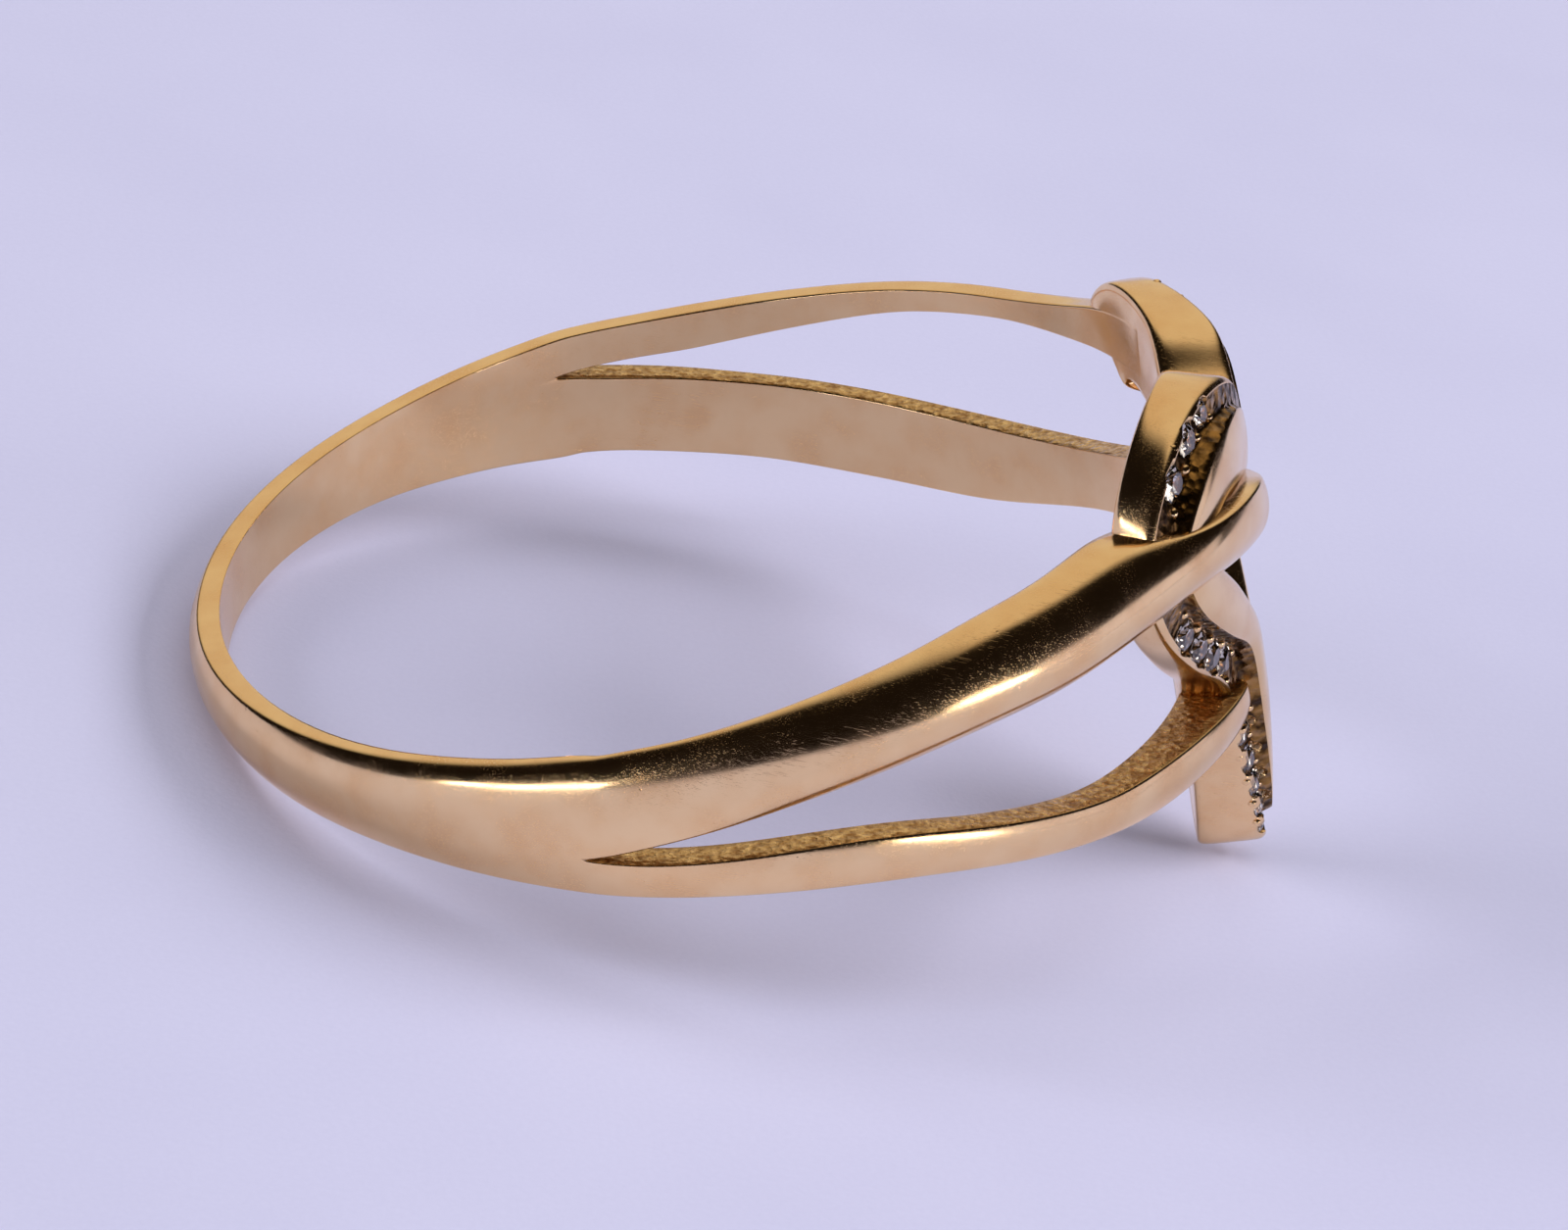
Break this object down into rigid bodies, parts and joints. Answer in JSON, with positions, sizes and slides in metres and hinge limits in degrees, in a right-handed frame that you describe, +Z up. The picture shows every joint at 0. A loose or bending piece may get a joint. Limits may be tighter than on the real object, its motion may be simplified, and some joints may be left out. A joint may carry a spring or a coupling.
{
  "type": "finger ring",
  "caption": "Heart ring in yellow gold: a plain shank forks at both shoulders into an open heart edged with small round stones.",
  "frame": {"origin": "on the surface the ring lies on, straight below the middle of the ring's box", "axes": "+Z up, +X from the back of the shank to the heart, +Y to the far side as pictured; the ring lies on the back of the shank and on the heart's point, so the finger hole's axis leans 19.1 degrees from +Z towards -X"},
  "size_m": [0.0204, 0.0188, 0.0103],
  "materials": {
    "gold": "polished yellow gold, lightly scratched",
    "stone": "clear cut stone"
  },
  "bodies": {
    "root": {"ring_body": "gold", "stone_01": "stone", "stone_02": "stone", "stone_03": "stone", "stone_04": "stone", "stone_05": "stone", "stone_06": "stone", "stone_07": "stone", "stone_08": "stone", "stone_09": "stone", "stone_10": "stone", "stone_11": "stone", "stone_12": "stone", "stone_13": "stone", "stone_14": "stone", "stone_15": "stone", "stone_16": "stone", "stone_17": "stone", "stone_18": "stone", "stone_19": "stone", "stone_20": "stone", "stone_21": "stone", "stone_22": "stone", "stone_23": "stone", "stone_24": "stone", "stone_25": "stone", "stone_26": "stone", "stone_27": "stone"}
  },
  "joints": []
}
